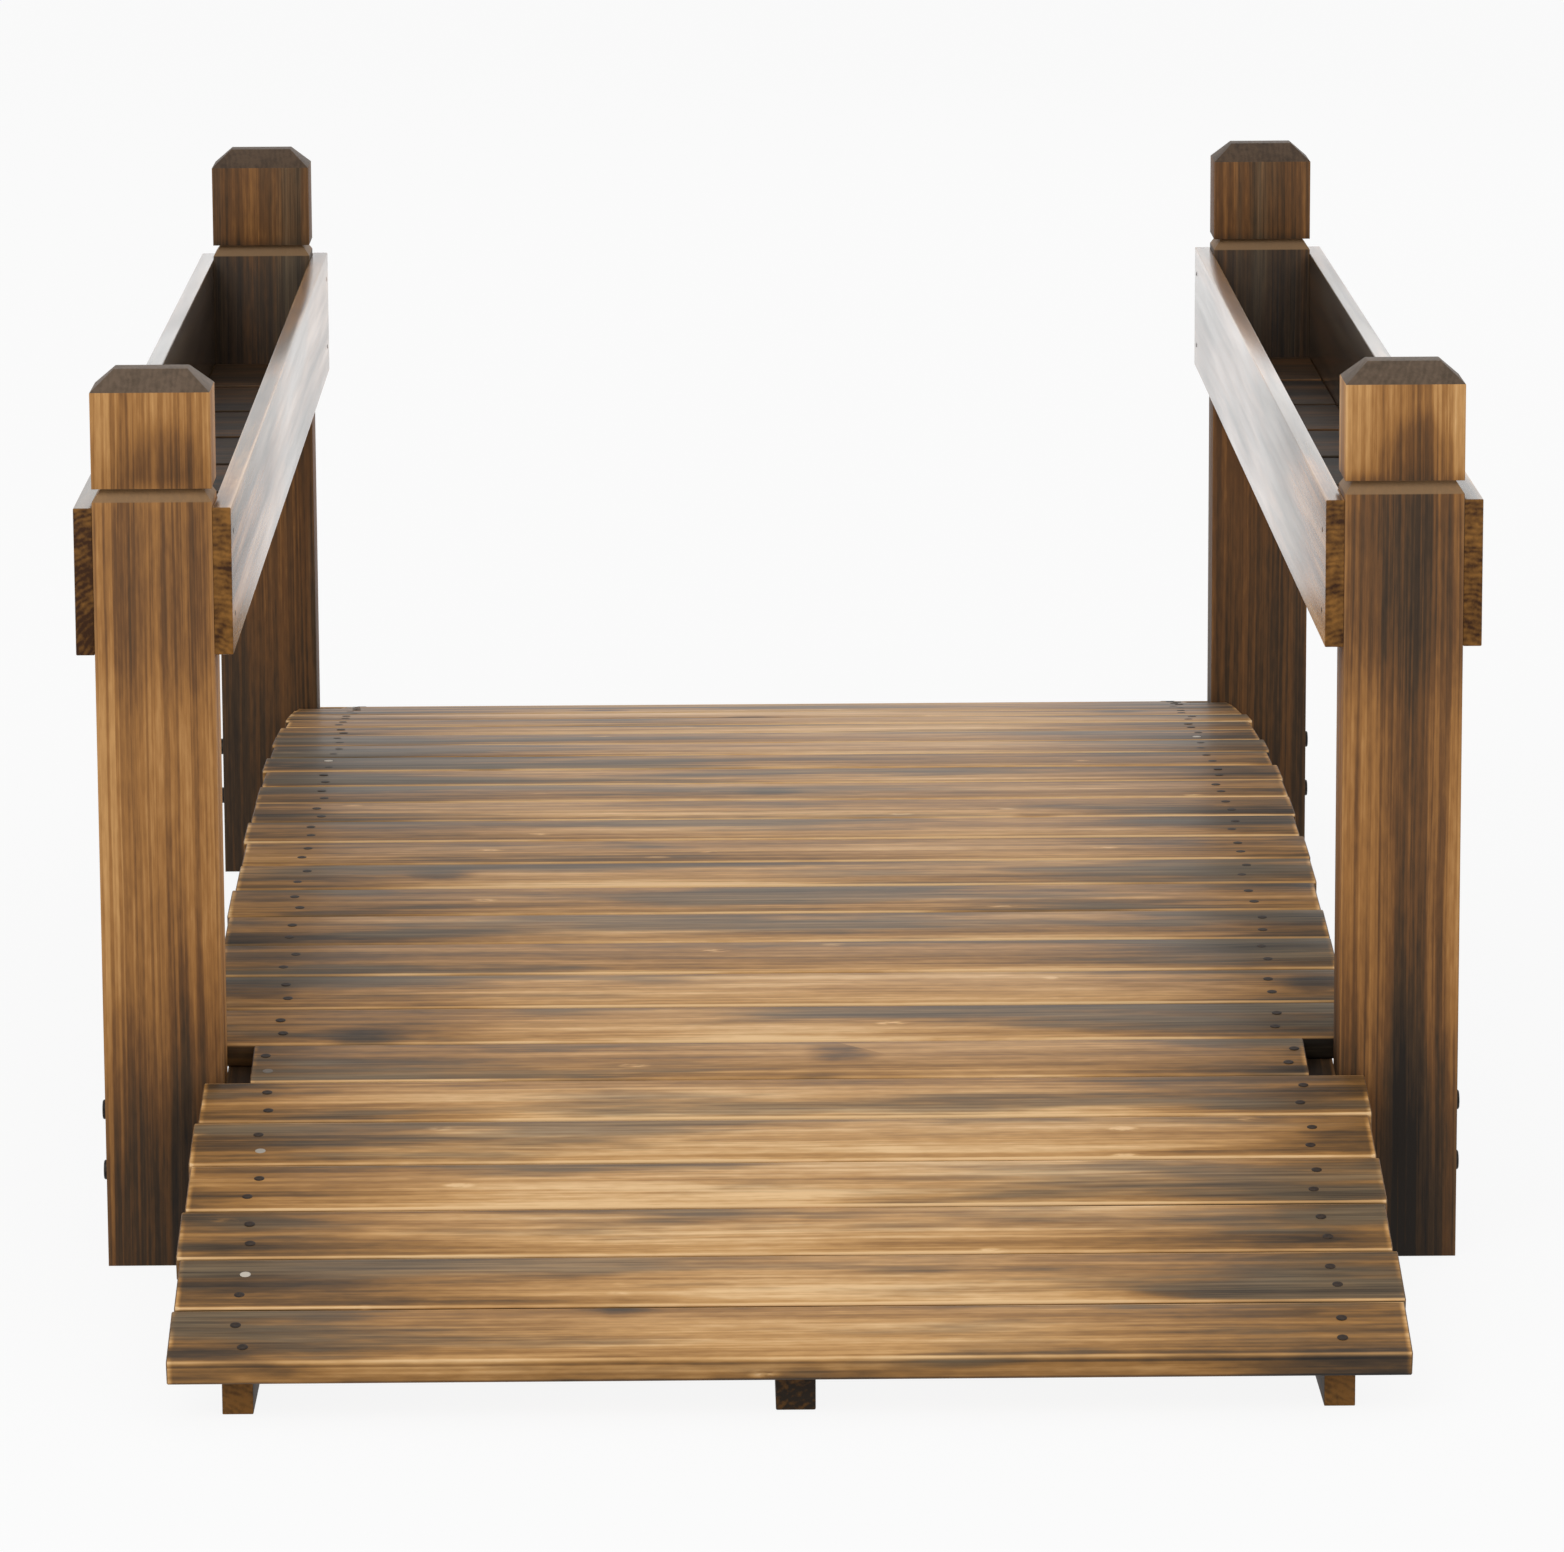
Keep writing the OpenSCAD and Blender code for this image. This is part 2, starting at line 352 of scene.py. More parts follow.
# Painted light and shade: the two outer feet that show in front get light numbers for how lit they
# are, and the centre foot, set back in shade, a nearly black one.
feet_lit_and_shaded = {
    "front_left_stringer": 0.85, "front_centre_stringer": 0.05, "front_right_stringer": 0.9}
for side in ("left", "right"):
    node = side + "_side_rail"
    rail = eased_copy(node, stringer_ease, lay_arched, stringer_fir, draw.random())
    settle(rail, "stringer_wood", node)
for panel in ("front", "middle", "rear"):
    for side in ("left", "centre", "right"):
        node = panel + "_" + side + "_stringer"
        number = feet_lit_and_shaded.get(node, draw.random())
        stringer = eased_copy(node, stringer_ease, lay_arched, stringer_fir, number)
        settle(stringer, "stringer_wood", node)


# Posts
# Four square fir posts with bevelled tops and a sawn groove under the head. The torch went over
# them lengthways, so the fine upright grain shows in stripes and the feet are nearly black.

post_ease = 0.0009
groove_mid = 0.3768
groove_half = 0.0033
head_blur = 0.01
board_mid = 0.335
smoke_x = 0.006
smoke_z = 0.392
smoke_w = 0.017
smoke_h = 0.022


def lay_upright(point):
    return (point.z, point.x, point.y)


def height_on(along, half):
    """The height above the post's foot."""
    return along + half.axes()[0]


def on_head(rise):
    return rise.step(groove_mid, groove_mid + head_blur)


def near_boards(rise):
    """The belt round the post where the planter boards are nailed on."""
    return 1 - abs(rise - board_mid).step(0.02, 0.08)


def post_shade(along, across, through, half, timber):
    """The torch lingered on the foot and the middle of the faces, and smoked the head. The belt at
    the boards' height is darker too, which is painted shade where the trough's boards shade the post.
    """
    rise = height_on(along, half)
    wisps = timber.noise((4, 70, 70), 3)
    foot = 1 - (rise + (wisps - 0.5) * 0.2 + abs(across) * 0.9).step(0.05, 0.2)
    middle = 1 - abs(across).step(0.006, 0.026)
    head = on_head(rise)
    aside = (across - smoke_x) / smoke_w
    above = (rise - smoke_z) / smoke_h
    smoke = head * (1 - (aside * aside + above * above).step(0.1, 1.4))
    own_depth = (along.attribute("board") - 0.62) * (0.42 - head * 0.88)
    dark = foot * 0.32 + middle * 0.1 + near_boards(rise) * 0.18 + smoke * 0.15
    return own_depth + 0.03 - dark


def rear_post_shade(along, across, through, half, timber):
    """The rear posts were torched more evenly and are darker low down. The belt between the boards,
    below the groove, is painted shade for the shade inside the trough.
    """
    rise = height_on(along, half)
    foot = 1 - rise.step(0.03, 0.3)
    # Painted shade: the belt below the groove, between the boards, is darkened for the trough's
    # shade.
    belt = (1 - on_head(rise)) * near_boards(rise)
    return 0 - foot * 0.15 - belt * 0.22 - 0.05


# The band of the groove: it takes the paler tone, partly painted light on its lit slope.
def groove_cut_and_lit(along, half):
    off_middle = abs(height_on(along, half) - groove_mid)
    return 1 - off_middle.step(groove_half - 0.0004, groove_half + 0.0002)


front_post_fir = torched_fir(
    "front_post_fir", axis=(0, 0, 1), growth=360, run=1.7, light=0.58, vary=0.1, stripe=0.14,
    streak=0.32, burn=0.06, wear=0.08, ends=(tone(82, 68, 54), tone(108, 90, 74)),
    local=post_shade, cut_and_lit=groove_cut_and_lit)
rear_post_fir = torched_fir(
    "rear_post_fir", axis=(0, 0, 1), growth=360, run=1.7, light=0.39, vary=0.1, stripe=0.1,
    streak=0.25, burn=0.05, wear=0.05, ends=(tone(60, 47, 36), tone(88, 70, 54)), ash=0.4,
    local=rear_post_shade, cut_and_lit=groove_cut_and_lit)
for node, fir, number in (
        ("front_left_post", front_post_fir, 0.64), ("front_right_post", front_post_fir, 0.4),
        ("rear_left_post", rear_post_fir, 0.76), ("rear_right_post", rear_post_fir, 0.66)):
    settle(eased_copy(node, post_ease, lay_upright, fir, number), "post_wood", node)


# Bolts
# Black steel bolts, two through each post, its side rail and the ramp stringer behind. Each has a
# low flat head outside, and a washer, a hexagon nut and a little spare thread inside.

def turned(name, profile, sides):
    """A mesh turned about Z from (height, radius) pairs, closed where the radius is nought."""
    work = bmesh.new()
    turns = [2 * math.pi * i / sides for i in range(sides)]
    rings = []
    for height, radius in profile:
        if radius == 0:
            rings.append([work.verts.new((0, 0, height))] * sides)
            continue
        rim = [(radius * math.cos(turn), radius * math.sin(turn), height) for turn in turns]
        rings.append([work.verts.new(corner) for corner in rim])
    for lower, upper in zip(rings, rings[1:]):
        for i in range(sides):
            j = (i + 1) % sides
            corners = [lower[i], lower[j], upper[j], upper[i]]
            work.faces.new(dict.fromkeys(corners))
    bmesh.ops.recalc_face_normals(work, faces=work.faces)
    mesh = bpy.data.meshes.new(name)
    work.to_mesh(mesh)
    work.free()
    smooth_rounds(mesh)
    return mesh


def join_meshes(name, meshes):
    """One source object, not shown by itself, that a rule sets out copies of."""
    work = bmesh.new()
    for mesh in meshes:
        work.from_mesh(mesh)
        bpy.data.meshes.remove(mesh)
    joined = bpy.data.meshes.new(name)
    work.to_mesh(joined)
    work.free()
    smooth_rounds(joined)
    source = bpy.data.objects.new(name, joined)
    scene.collection.objects.link(source)
    return source


def rule_tree(name, inputs):
    """A Geometry Nodes tree with named inputs, a wire for each, and the number of each copy."""
    tree = bpy.data.node_groups.new(name, "GeometryNodeTree")
    for label, kind in inputs.items():
        tree.interface.new_socket(label, in_out="INPUT", socket_type="NodeSocket" + kind)
    tree.interface.new_socket("Geometry", in_out="OUTPUT", socket_type="NodeSocketGeometry")
    given = tree.nodes.new("NodeGroupInput")
    wires = {label: Wire(tree, given.outputs[label]) for label in inputs}
    return tree, wires, Wire(tree).node("GeometryNodeInputIndex")


def copies(spot, count, source, turn):
    """Sets copies of the source object at their spots, each turned by its three angles."""
    points = spot.node("GeometryNodePoints", None, {"Count": count, "Position": spot})
    shape = points.node("GeometryNodeObjectInfo", None, {"Object": source}, "Geometry")
    rotation = points.node("FunctionNodeEulerToRotation", None, {0: turn})
    return points.node("GeometryNodeInstanceOnPoints", None,
                       {"Points": points, "Instance": shape, "Rotation": rotation})


def close_rule(rows, material):
    """Ends a tree: the copies become real mesh and take their material."""
    real = rows.node("GeometryNodeRealizeInstances", None, {0: rows})
    dressed = real.node("GeometryNodeSetMaterial", None, {"Geometry": real, "Material": material})
    dressed.feed(real.tree.nodes.new("NodeGroupOutput"), 0)


def follow_rule(name, tree, values):
    """Runs a tree with these inputs and keeps what it makes as a plain piece."""
    piece = bpy.data.objects.new(name, bpy.data.meshes.new(name))
    scene.collection.objects.link(piece)
    modifier = piece.modifiers.new("rule", "NODES")
    modifier.node_group = tree
    for item in tree.interface.items_tree:
        if item.in_out == "INPUT":
            modifier[item.identifier] = values[item.name]
    keep_result(piece)
    smooth_rounds(piece.data)
    return piece


black_oxide, maker, shader = new_finish("black_oxide")
scuff = maker.node("ShaderNodeTexCoord", out="Object").noise((420, 420, 420), 3)
skin = scuff.step(0.45, 0.75).mix(tone(30, 29, 28), tone(66, 60, 54))
skin.feed(shader, "Base Color")
(0.36 + scuff * 0.3).feed(shader, "Roughness")
shader.inputs["Metallic"].default_value = 0.6

bolts_per_post = 2
bolt_grip = 0.085
bolt_pitch = 0.030
head_r = 0.00475
head_h = 0.0025
head_sunk = 0.0004
head_break_h = 0.0004
head_break_w = 0.0005
shank_r = 0.003
washer_r = 0.0062
washer_t = 0.0012
nut_r = 0.0055
nut_h = 0.005
nut_break_h = 0.0006
nut_break_r = nut_r * 0.88
tail = 0.003
tail_r = shank_r * 0.8
thread_step = 0.0005
thread_root = 0.86
round_sides = 24
shank_sides = 16
nut_sides = 6
washer_low = -bolt_grip - washer_t
nut_low = -bolt_grip - nut_h
tail_low = nut_low - tail
head = turned("bolt_head", [
    (-head_sunk, 0), (-head_sunk, head_r), (head_h - head_break_h, head_r),
    (head_h, head_r - head_break_w), (head_h, 0)], round_sides)
shank = turned("bolt_shank", [
    (-bolt_grip, 0), (-bolt_grip, shank_r), (0, shank_r), (0, 0)], shank_sides)
washer = turned("bolt_washer", [
    (-bolt_grip, 0), (-bolt_grip, washer_r), (washer_low, washer_r), (washer_low, 0)], round_sides)
nut = turned("bolt_nut", [
    (washer_low, 0), (washer_low, nut_r), (nut_low + nut_break_h, nut_r),
    (nut_low, nut_break_r), (nut_low, 0)], nut_sides)
threads = [(nut_low - thread_step * i, shank_r * (thread_root if i % 2 else 1.0))
           for i in range(int(tail / thread_step))]
thread = turned("bolt_thread", [
    (nut_low, 0), *threads, (tail_low, tail_r), (tail_low, 0)], shank_sides)
bolt = join_meshes("bolt", [head, shank, washer, nut, thread])

bolt_rule, wires, index = rule_tree("bolt_rule", {
    "Bolt": "Object", "Seat": "Vector", "Pitch": "Float", "Side": "Float"})
spot = wires["Seat"].vector("ADD", index.joined(0.0, 0.0, index * wires["Pitch"]))
outward = index.joined(0.0, wires["Side"] * (math.pi / 2), 0.0)
close_rule(copies(spot, bolts_per_post, wires["Bolt"], outward), black_oxide)
for end in ("front", "rear"):
    for side, sign in (("left", -1), ("right", 1)):
        node = end + "_" + side + "_bolts"
        low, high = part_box(node)
        post_low, post_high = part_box(end + "_" + side + "_post")
        outer_x = post_low.x if sign < 0 else post_high.x
        low_z = (low.z + high.z) / 2 - bolt_pitch / 2
        pair = follow_rule("dressed_" + node, bolt_rule, {
            "Bolt": bolt, "Seat": (outer_x, (low.y + high.y) / 2, low_z),
            "Pitch": bolt_pitch, "Side": float(sign)})
        settle(pair, "bolt_steel", node)
bpy.data.objects.remove(bolt)


# Deck slats
# Flat fir boards laid across the arch, nailed down in three panels, with one short board between
# the posts at each joint. Their edges are eased, and brushing left the arrises paler than the faces.

slat_t = 0.012
slat_gap = 0.0015
slat_r = deck_r - slat_t
slat_mid_r = slat_r + slat_t / 2
ramp_slats = 6
middle_slats = 19
flank_slats = middle_slats // 3
crown_slats = middle_slats - 2 * flank_slats
bay_l = 0.046
bay_angle = bay_l / slat_r
end_angle = math.asin(deck_l / 2 / deck_r)
slat_angle = (2 * end_angle - 2 * bay_angle) / (middle_slats + 2 * ramp_slats)
slat_w = slat_angle * slat_r - slat_gap
short_w = bay_angle * slat_r - slat_gap
slat_ease = 0.0012
end_ease = 0.0005
square_turn = 1.2


def eased_board(name, length, width, thickness, ease):
    """A board along X about the origin, with its long arrises rounded and its ends just broken."""
    work = bmesh.new()
    bmesh.ops.create_cube(work, size=1, matrix=Matrix.Diagonal((length, width, thickness, 1)))
    long_edges = [e for e in work.edges if abs(e.verts[0].co.x - e.verts[1].co.x) > length / 2]
    bmesh.ops.bevel(work, geom=long_edges, offset=ease, segments=3, profile=0.5, affect="EDGES")
    end_edges = [e for e in work.edges if e.calc_face_angle(0) > square_turn]
    bmesh.ops.bevel(work, geom=end_edges, offset=end_ease, segments=1, profile=0.5, affect="EDGES")
    mesh = bpy.data.meshes.new(name)
    work.to_mesh(mesh)
    work.free()
    mark_timber(mesh, tuple)
    smooth_rounds(mesh)
    source = bpy.data.objects.new(name, mesh)
    scene.collection.objects.link(source)
    return source


def scattered(timber, stretch, dimensions):
    """Scattered spots: the distance to the nearest, and the number from nought to one it drew."""
    spread = timber.vector("MULTIPLY", stretch)
    cell = spread.node("ShaderNodeTexVoronoi", {"voronoi_dimensions": dimensions},
                       {"Vector": spread, "Scale": 1.0, "Randomness": 1.0}).socket.node
    near = Wire(timber.tree, cell.outputs["Distance"])
    drawn = Wire(timber.tree, cell.outputs["Color"]).axes()[0]
    return near, drawn


upper_line = 0.0026
lower_edge = (0.0098, 0.0112)


def slat_shade(along, across, through, half, timber):
    """Darker towards the boards' ends, smudges, painted shade in the gaps between slats, a few knots,
    pale flecks and pale tips.

    The first and the last slat of the deck have an open edge, with dark lines instead of that shade.
    """
    half_l, half_w, half_t = half.axes()
    sides = abs(along).step(0.11, 0.27)
    smudge = (0.3 + sides * 0.7) * timber.noise((6, 34, 34), 3).step(0.46, 0.62)
    tip = 1 - (half_l - abs(along)).step(0.0008, 0.0032)
    tip = tip * timber.noise((9, 40, 40)).step(0.3, 0.6)

    near, drawn = scattered(timber, (9, 13, 13), "2D")
    ragged = near + (timber.noise((50, 90, 90), 2) - 0.5) * 0.12
    knots = (1 - ragged.step(0.02, 0.22)) * drawn.step(0.87, 0.88)
    near, drawn = scattered(timber, (34, 100, 100), "3D")
    flecks = (1 - near.step(0.08, 0.34)) * drawn.step(0.96, 0.97)
    flecks = flecks * timber.noise((120, 400, 400), 2).step(0.36, 0.6)

    drop = half_t - through
    open_edge = along.attribute("open_edge")
    side_face = 1 - (half_w - abs(across)).step(0.0005, 0.001)
    # Painted shade: the slats' sides below the top arris are darkened in the gaps between slats,
    # except along an open edge.
    soot_and_gap_shade = side_face * drop.step(0.0008, 0.0014) * (1 - open_edge)
    soot_and_gap_shade = soot_and_gap_shade * timber.noise((9, 9, 9)).step(0.25, 0.6)
    upper = side_face * (1 - abs(drop - upper_line).step(0.0003, 0.001))
    lower = side_face * drop.step(*lower_edge)
    blotch = side_face * timber.noise((16, 45, 45), 3).step(0.48, 0.62)
    lines = open_edge * (upper * 0.16 + lower * 0.3 + blotch * 0.1 - side_face * 0.07)
    dark = sides * 0.25 + smudge * 0.26 + knots * 0.34 + soot_and_gap_shade * 0.45 + lines
    return 0.15 - dark + flecks * 0.35 + tip * 0.35


slat_tones = [
    (0.0, tone(35, 28, 21)),
    (0.2, tone(71, 54, 36)),
    (0.4, tone(114, 82, 46)),
    (0.6, tone(165, 119, 64)),
    (0.8, tone(208, 159, 99)),
    (1.0, tone(243, 202, 148))]
slat_fir = torched_fir(
    "slat_fir", axis=(1, 0, 0), growth=260, run=4.6, light=0.635, vary=0.3, stripe=0.1, streak=0.7,
    burn=0.2, wear=0.4, ends=(tone(66, 48, 34), tone(140, 104, 66)), ash=0.7, shine=0.12,
    local=slat_shade, worn_under=False, tones=slat_tones)


def dice(index, seed):
    """Gives a maker of small random lengths and angles for the copies, the same on every run."""
    def chance(spread, step):
        return index.node("FunctionNodeRandomValue", {"data_type": "FLOAT"},
                          {2: -spread, 3: spread, "ID": index, "Seed": seed + step}, 1)
    return chance


def on_arch(x, angle, radius, height):
    """A spot on the arch at an angle from the crown, about an axis at this height."""
    return angle.joined(x, radius * angle.maths("SINE", angle),
                        height + radius * angle.maths("COSINE", angle))


def mark_copies(rows, name, value):
    """Writes a number on every copy, for its material to read."""
    return rows.node("GeometryNodeStoreNamedAttribute", {"data_type": "FLOAT", "domain": "INSTANCE"},
                     {"Geometry": rows, "Name": name, "Value": value})


slat_lift = 0.00015
slat_slip = 0.0014
slat_rock = 0.003
slat_skew = 0.0006
slat_rule, wires, index = rule_tree("slat_rule", {
    "Slat": "Object", "Count": "Int", "First Angle": "Float", "Pitch": "Float", "Radius": "Float",
    "Arch Height": "Float", "Lightest": "Float", "End Slat": "Int", "Seed": "Int"})
chance = dice(index, wires["Seed"])
angle = wires["First Angle"] + index * wires["Pitch"]
radius = wires["Radius"] + chance(slat_lift, 1)
spot = on_arch(chance(slat_slip, 2), angle, radius, wires["Arch Height"])
turn = index.joined(0 - angle + chance(slat_rock, 3), 0.0, chance(slat_skew, 4))
rows = copies(spot, wires["Count"], wires["Slat"], turn)
rows = mark_copies(rows, "board", (chance(0.5, 5) + 0.5) * wires["Lightest"])
open_edge = 1 - index.maths("MINIMUM", abs(index - wires["End Slat"]), 1.0)
close_rule(mark_copies(rows, "open_edge", open_edge), slat_fir)

slat_low, slat_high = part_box("middle_crown_slats")
short_low, short_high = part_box("front_short_slat")
full_slat = eased_board("full_slat", slat_high.x - slat_low.x, slat_w, slat_t, slat_ease)
short_slat = eased_board("short_slat", short_high.x - short_low.x, short_w, slat_t, slat_ease)
middle_first = -(middle_slats - 1) / 2 * slat_angle
crown_first = middle_first + flank_slats * slat_angle
flank_first = -middle_first - (flank_slats - 1) * slat_angle
post_angle = middle_slats / 2 * slat_angle + bay_angle / 2
ramp_first = post_angle + bay_angle / 2 + slat_angle / 2
ramp_last = ramp_first + (ramp_slats - 1) * slat_angle
no_end = -1
ramp_light = 1.0
# Painted shade: the middle panel's slats draw darker tones than the ramps', to darken the flatter
# middle of the deck that the lamps light more.
middle_shaded_lightest = 0.6
for node, source, count, first, lightest, end_slat, seed in (
        ("front_ramp_slats", full_slat, ramp_slats, -ramp_last, ramp_light, 0, 3178),
        ("front_short_slat", short_slat, 1, -post_angle, ramp_light, no_end, 22),
        ("middle_front_slats", full_slat, flank_slats, middle_first, middle_shaded_lightest, no_end, 23),
        ("middle_crown_slats", full_slat, crown_slats, crown_first, middle_shaded_lightest, no_end, 24),
        ("middle_rear_slats", full_slat, flank_slats, flank_first, middle_shaded_lightest, no_end, 25),
        ("rear_short_slat", short_slat, 1, post_angle, ramp_light, no_end, 26),
        ("rear_ramp_slats", full_slat, ramp_slats, ramp_first, ramp_light, ramp_slats - 1, 27)):
    row = follow_rule("dressed_" + node, slat_rule, {
        "Slat": source, "Count": count, "First Angle": first, "Pitch": slat_angle,
        "Radius": slat_mid_r, "Arch Height": arch_z, "Lightest": lightest, "End Slat": end_slat,
        "Seed": seed})
    settle(row, "slat_wood", node)
for source in (full_slat, short_slat):
    bpy.data.objects.remove(source)


# Deck nails
# Steel nails, two through each end of a slat into the stringer below it. They were driven before
# the torching, so most heads are black. A few heads are pale, partly rubbed bare and partly a
# painted glint.

nail_r = 0.0025
nail_proud = 0.0003
nail_rim = nail_proud * 0.4
nail_dish = nail_proud * 0.6
nail_sunk = 0.001
nail_sides = 12
nail = join_meshes("nail", [turned("nail_head", [
    (-nail_sunk, 0), (-nail_sunk, nail_r), (nail_rim, nail_r), (nail_proud, nail_r * 0.8),
    (nail_dish, nail_r * 0.35), (nail_dish, 0)], nail_sides)])

nail_steel, maker, shader = new_finish("nail_steel")
grit = maker.node("ShaderNodeTexCoord", out="Object").noise((700, 700, 700), 2)
skin = grit.step(0.4, 0.7).mix(tone(34, 25, 18), tone(60, 44, 32))
# Partly painted highlight: the heads drawn pale stand for bare steel and for their glints.
skin = maker.attribute("bright").step(0.9, 0.94).mix(skin, tone(205, 196, 182))
skin.feed(shader, "Base Color")
(0.4 + grit * 0.3).feed(shader, "Roughness")
shader.inputs["Specular IOR Level"].default_value = 0.25

nail_spacing = 0.019
ramp_nail_x = 0.2475
middle_nail_x = 0.2445
nail_stray_x = 0.003
nail_stray_y = 0.0015
nails_per_slat = 4
nail_rule, wires, index = rule_tree("nail_rule", {
    "Nail": "Object", "Slats": "Int", "First Angle": "Float", "Pitch": "Float", "Radius": "Float",
    "Arch Height": "Float", "Side Place": "Float", "Spacing": "Float", "Seed": "Int"})
chance = dice(index, wires["Seed"])
slat_number = index.maths("FLOOR", index / nails_per_slat)
corner = index - slat_number * nails_per_slat
row_number = corner.maths("FLOOR", corner / 2)
side_sign = (corner - row_number * 2) * 2 - 1
off_middle = (row_number - 0.5) * wires["Spacing"] + chance(nail_stray_y, 1)
angle = wires["First Angle"] + slat_number * wires["Pitch"] + off_middle / wires["Radius"]
nail_x = side_sign * wires["Side Place"] + chance(nail_stray_x, 2)
spot = on_arch(nail_x, angle, wires["Radius"], wires["Arch Height"])
turn = index.joined(0 - angle, 0.0, 0.0)
rows = copies(spot, wires["Slats"] * nails_per_slat, wires["Nail"], turn)
close_rule(mark_copies(rows, "bright", chance(0.5, 5) + 0.5), nail_steel)
for name, slats, first, side_place, seed in (
        ("front_ramp_nails", ramp_slats, -ramp_last, ramp_nail_x, 943),
        ("front_joint_nails", 1, -post_angle, ramp_nail_x, 32),
        ("middle_nails", middle_slats, middle_first, middle_nail_x, 472),
        ("rear_joint_nails", 1, post_angle, ramp_nail_x, 34),
        ("rear_ramp_nails", ramp_slats, ramp_first, ramp_nail_x, 35)):
    nails = follow_rule(name, nail_rule, {
        "Nail": nail, "Slats": slats, "First Angle": first, "Pitch": slat_angle, "Radius": deck_r,
        "Arch Height": arch_z, "Side Place": side_place, "Spacing": nail_spacing, "Seed": seed})
    settle(nails, "bolt_steel")
bpy.data.objects.remove(nail)


# Planter side boards
# Thin fir boards nailed to the inner and outer faces of the posts, as long as the posts stand
# apart. Their sawn ends stayed golden, and their faces were torched and washed grey.

board_ease = 0.0006
painted_shade_skin = (0.0003, 0.0009)


def lay_lengthwise(point):
    return (point.y, point.z, point.x)


def lay_mirrored(point):
    return (point.y, point.z, -point.x)


def painted_trough_shade(along, across, through, half, timber):
    """Painted shade: the face that looks into the trough is darkened for the shade inside it."""
    depth = half.axes()[2] - through
    return (depth.step(*painted_shade_skin) - 1) * 0.3


board_look = dict(
    axis=(0, 1, 0), growth=260, run=4, light=0.5, vary=0.2, stripe=0.12, streak=0.8, burn=0.2,
    wear=0.15, ends=(tone(58, 31, 6), tone(146, 100, 44)), ash=0.6, shine=1.25, gloss=1.88)
inner_board_fir = torched_fir("inner_board_fir", **board_look)
# Painted shade: the outer boards take the trough's painted shade on their inside faces.
outer_board_fir = torched_fir("outer_board_fir", local=painted_trough_shade, **board_look)
for node, lay, fir, number in (
        ("left_planter_inner_board", lay_lengthwise, inner_board_fir, 0.6),
        ("left_planter_outer_board", lay_lengthwise, outer_board_fir, 0.12),
        ("right_planter_inner_board", lay_lengthwise, inner_board_fir, 0.4),
        ("right_planter_outer_board", lay_mirrored, outer_board_fir, 0.45)):
    settle(eased_copy(node, board_ease, lay, fir, number), "planter_wood", node)


# Planter floors
# Short fir offcuts laid across the bottom of each trough, nailed in between its side boards with
# gaps for the water to run out. They sit in the shade, and their very dark tone adds painted shade.

# Painted shade: a very dark tone that adds to the shade inside the troughs.
floor_fir = torched_fir(
    "floor_fir", axis=(1, 0, 0), growth=240, run=5, light=0.16, vary=0.1, stripe=0.06, streak=0.5,
    burn=0.08, wear=0.06, ends=(tone(60, 40, 20), tone(104, 76, 42)))

floor_boards = 9
floor_gap = 0.007
floor_play = 0.0004
floor_ease = 0.0008
floor_slip = 0.0008
floor_skew = 0.002
floor_rule, wires, index = rule_tree("floor_rule", {
    "Board": "Object", "Count": "Int", "First": "Vector", "Pitch": "Float", "Seed": "Int"})
chance = dice(index, wires["Seed"])
offset = index.joined(0.0, index * wires["Pitch"] + chance(floor_slip, 1), 0.0)
spot = wires["First"].vector("ADD", offset)
turn = index.joined(0.0, 0.0, chance(floor_skew, 2))
rows = copies(spot, wires["Count"], wires["Board"], turn)
close_rule(mark_copies(rows, "board", chance(0.5, 5) + 0.5), floor_fir)
for side, seed in (("left", 41), ("right", 42)):
    node = side + "_planter_floor"
    low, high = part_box(node)
    pitch = (high.y - low.y + floor_gap) / floor_boards
    floor_l = high.x - low.x - floor_play
    floor_w = pitch - floor_gap
    floor_board = eased_board("floor_board", floor_l, floor_w, high.z - low.z, floor_ease)
    first = (low + high) / 2
    first.y = low.y + floor_w / 2
    row = follow_rule("dressed_" + node, floor_rule, {
        "Board": floor_board, "Count": floor_boards, "First": first, "Pitch": pitch, "Seed": seed})
    settle(row, "planter_wood", node)
    bpy.data.objects.remove(floor_board)


# Planter nails
# Two thin brads hold each side board to each post, driven from the open side of the board and set
# flush, so that they hardly show.

brad_r = 0.0013
brad_sides = 10
brads_per_board = 4
brad_spacing = 0.040
brad_stray = 0.002
brad_seeds = {1: 51, -1: 52}
brad = join_meshes("brad", [turned("brad_head", [
    (-nail_sunk, 0), (-nail_sunk, brad_r), (nail_rim, brad_r),
    (nail_dish, brad_r * 0.8), (nail_dish, 0)], brad_sides)])
board_nail_rule, wires, index = rule_tree("board_nail_rule", {
    "Nail": "Object", "Middle": "Vector", "Spread": "Float", "Spacing": "Float", "Turn": "Float",
    "Seed": "Int"})
chance = dice(index, wires["Seed"])
post_number = index.maths("FLOOR", index / 2)
upper = index - post_number * 2
offset = index.joined(0.0, (post_number - 0.5) * wires["Spread"] + chance(brad_stray, 1),
                      (upper - 0.5) * wires["Spacing"] + chance(brad_stray, 2))
spot = wires["Middle"].vector("ADD", offset)
rows = copies(spot, brads_per_board, wires["Nail"], index.joined(0.0, wires["Turn"], 0.0))
close_rule(mark_copies(rows, "bright", chance(0.5, 5) + 0.5), nail_steel)
front_post_y = sum(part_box("front_left_post"), Vector()).y / 2
rear_post_y = sum(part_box("rear_left_post"), Vector()).y / 2
